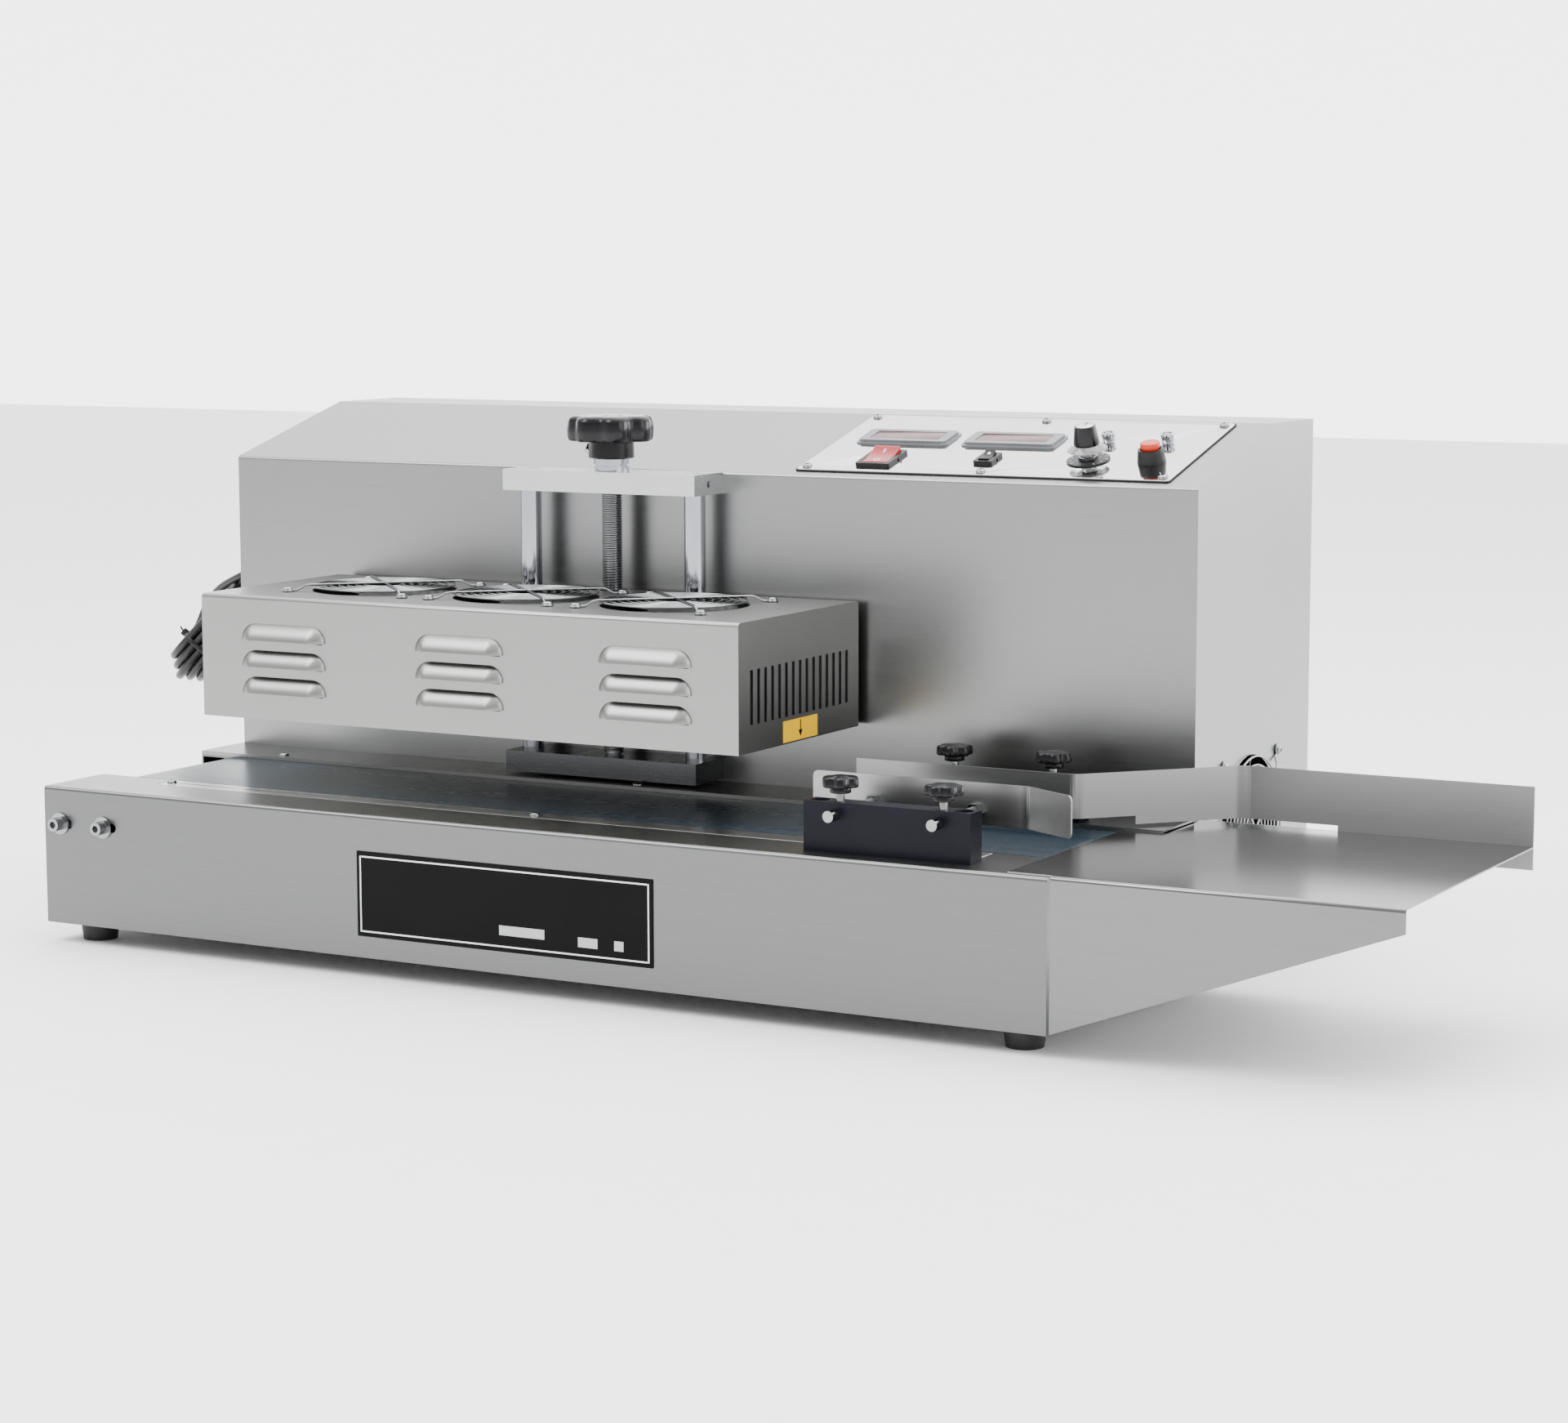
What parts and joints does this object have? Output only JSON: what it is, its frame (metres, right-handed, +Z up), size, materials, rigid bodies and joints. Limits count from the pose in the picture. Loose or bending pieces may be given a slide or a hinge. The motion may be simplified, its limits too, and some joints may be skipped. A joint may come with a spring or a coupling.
{
  "type": "induction cap sealer",
  "caption": "Benchtop conveyor induction cap sealer: sheet-steel base with belt, louvred sealing head on a hand-screw lift, sloped control panel, side guides and infeed tray.",
  "frame": {"origin": "centre of the bounding box's bottom without the cord: under the machine's middle, on the table", "axes": "+X along the belt towards the infeed tray, +Y back to the tower, +Z up"},
  "size_m": [1.212, 0.4814, 0.4004],
  "materials": {
    "sheet_steel": "satin, finely brushed",
    "guide_sheet": "satin",
    "milled_aluminium": "milled",
    "panel_aluminium": "satin, bare",
    "bright_steel": "polished",
    "chrome_trim": "polished",
    "inner_steel": "plain grey",
    "black_plastic": "moulded",
    "black_plate": "satin black with blank fields",
    "red_plastic": "glossy",
    "belt_rubber": "blue-grey coated belt",
    "black_rubber": "matt",
    "bronze": "turned",
    "copper": "enamelled winding",
    "ferrite": "sintered",
    "laminate": "pale insulating board",
    "circuit_board": "plain"
  },
  "bodies": {
    "machine": {"base_housing": "sheet_steel", "base_floor": "sheet_steel", "tower_shell": "sheet_steel", "rear_cover": "sheet_steel", "infeed_tray": "sheet_steel", "rear_guide_fence": "guide_sheet", "upper_block": "milled_aluminium", "lower_block": "milled_aluminium", "belt_side_strip": "milled_aluminium", "control_panel": "panel_aluminium", "guide_columns": "bright_steel", "thrust_bearing": "bright_steel", "case_screws": "bright_steel", "tower_fan_guard": "bright_steel", "tension_bolts": "bright_steel", "lamp_bezels": "chrome_trim", "belt_bed": "inner_steel", "roller_carriers": "inner_steel", "gear_motor": "inner_steel", "speed_potentiometer": "inner_steel", "tower_fan_frame": "black_plastic", "guide_blocks": "black_plastic", "switch_housings": "black_plastic", "panel_meters": "black_plastic", "nameplate": "black_plate", "belt": "belt_rubber", "rubber_feet": "black_rubber", "cord_gland": "black_rubber", "power_cord": "black_rubber", "cord_hank": "black_rubber", "power_plug": "black_rubber", "power_board": "circuit_board"},
    "lift_screw": {"lead_screw": "bright_steel", "lift_knob": "black_plastic"},
    "sealing_head": {"head_shell": "sheet_steel", "head_base_plate": "laminate", "lift_carriage": "milled_aluminium", "column_bushings": "bronze", "lift_nut": "bronze", "induction_coil": "copper", "ferrite_bars": "ferrite", "head_fan_frames": "black_plastic", "head_fan_guards": "bright_steel", "guard_screws": "bright_steel"},
    "fan_left": {"head_fan_left": "black_plastic"},
    "fan_middle": {"head_fan_middle": "black_plastic"},
    "fan_right": {"head_fan_right": "black_plastic"},
    "fan_tower": {"tower_fan_rotor": "black_plastic"},
    "drive_roll": {"drive_roller": "inner_steel"},
    "idler_roll": {"idler_roller": "inner_steel"},
    "power_rocker": {"main_rocker": "red_plastic"},
    "mode_rocker": {"small_rocker": "black_plastic"},
    "start_button": {"push_button": "red_plastic"},
    "dial": {"speed_knob": "black_plastic"},
    "front_guide": {"front_guide_rods": "bright_steel", "front_guide_plate": "guide_sheet"},
    "clamp_fl": {"front_left_clamp": "black_plastic"},
    "clamp_fr": {"front_right_clamp": "black_plastic"},
    "clamp_rl": {"rear_left_clamp": "black_plastic"},
    "clamp_rr": {"rear_right_clamp": "black_plastic"}
  },
  "joints": [
    {"name": "head_lift", "type": "slide", "parent": "machine", "child": "sealing_head", "axis": [0, 0, 1], "range_m": [-0.03, 0.062]},
    {"name": "lift_screw_spin", "type": "hinge", "parent": "machine", "child": "lift_screw", "pos_m": [-0.1715, -0.00425, 0.38], "axis": [0, 0, 1], "range_deg": [-11166, 5406]},
    {"name": "fan_left_spin", "type": "hinge", "parent": "sealing_head", "child": "fan_left", "pos_m": [-0.3295, -0.07975, 0.255], "axis": [0, 0, 1], "continuous": true},
    {"name": "fan_middle_spin", "type": "hinge", "parent": "sealing_head", "child": "fan_middle", "pos_m": [-0.2005, -0.07975, 0.255], "axis": [0, 0, 1], "continuous": true},
    {"name": "fan_right_spin", "type": "hinge", "parent": "sealing_head", "child": "fan_right", "pos_m": [-0.0715, -0.07975, 0.255], "axis": [0, 0, 1], "continuous": true},
    {"name": "fan_tower_spin", "type": "hinge", "parent": "machine", "child": "fan_tower", "pos_m": [0.2845, 0.12275, 0.101], "axis": [1, 0, 0], "continuous": true},
    {"name": "drive_roll_spin", "type": "hinge", "parent": "machine", "child": "drive_roll", "pos_m": [0.2625, -0.10125, 0.092], "axis": [0, 1, 0], "continuous": true},
    {"name": "idler_roll_spin", "type": "hinge", "parent": "machine", "child": "idler_roll", "pos_m": [-0.5055, -0.10125, 0.092], "axis": [0, 1, 0], "continuous": true},
    {"name": "power_rocker_tilt", "type": "hinge", "parent": "machine", "child": "power_rocker", "pos_m": [0.0305, 0.05105, 0.36904], "axis": [1, 0, 0], "range_deg": [-18, 0]},
    {"name": "mode_rocker_tilt", "type": "hinge", "parent": "machine", "child": "mode_rocker", "pos_m": [0.1155, 0.05683, 0.37064], "axis": [1, 0, 0], "range_deg": [-18, 0]},
    {"name": "start_button_press", "type": "slide", "parent": "machine", "child": "start_button", "axis": [0, -0.2666, 0.9638], "range_m": [-0.003, 0], "stiffness_N_per_m": 400, "springref_m": 0.003},
    {"name": "dial_turn", "type": "hinge", "parent": "machine", "child": "dial", "pos_m": [0.1936, 0.06242, 0.37219], "axis": [0, -0.2666, 0.9638], "range_deg": [-140, 140]},
    {"name": "front_guide_slide", "type": "slide", "parent": "machine", "child": "front_guide", "axis": [0, 1, 0], "range_m": [-0.03, 0.012]},
    {"name": "clamp_fl_turn", "type": "hinge", "parent": "machine", "child": "clamp_fl", "pos_m": [0.132, -0.20375, 0.165], "axis": [0, 0, 1], "range_deg": [0, 180]},
    {"name": "clamp_fr_turn", "type": "hinge", "parent": "machine", "child": "clamp_fr", "pos_m": [0.21, -0.20375, 0.165], "axis": [0, 0, 1], "range_deg": [0, 180]},
    {"name": "clamp_rl_turn", "type": "hinge", "parent": "machine", "child": "clamp_rl", "pos_m": [0.132, -0.02975, 0.165], "axis": [0, 0, 1], "range_deg": [0, 180]},
    {"name": "clamp_rr_turn", "type": "hinge", "parent": "machine", "child": "clamp_rr", "pos_m": [0.21, -0.02975, 0.165], "axis": [0, 0, 1], "range_deg": [0, 180]}
  ],
  "couplings": [
    {"joint": "lift_screw_spin", "follows": "head_lift", "rad_per_m": -3141.6},
    {"joint": "idler_roll_spin", "follows": "drive_roll_spin", "ratio": 1}
  ]
}
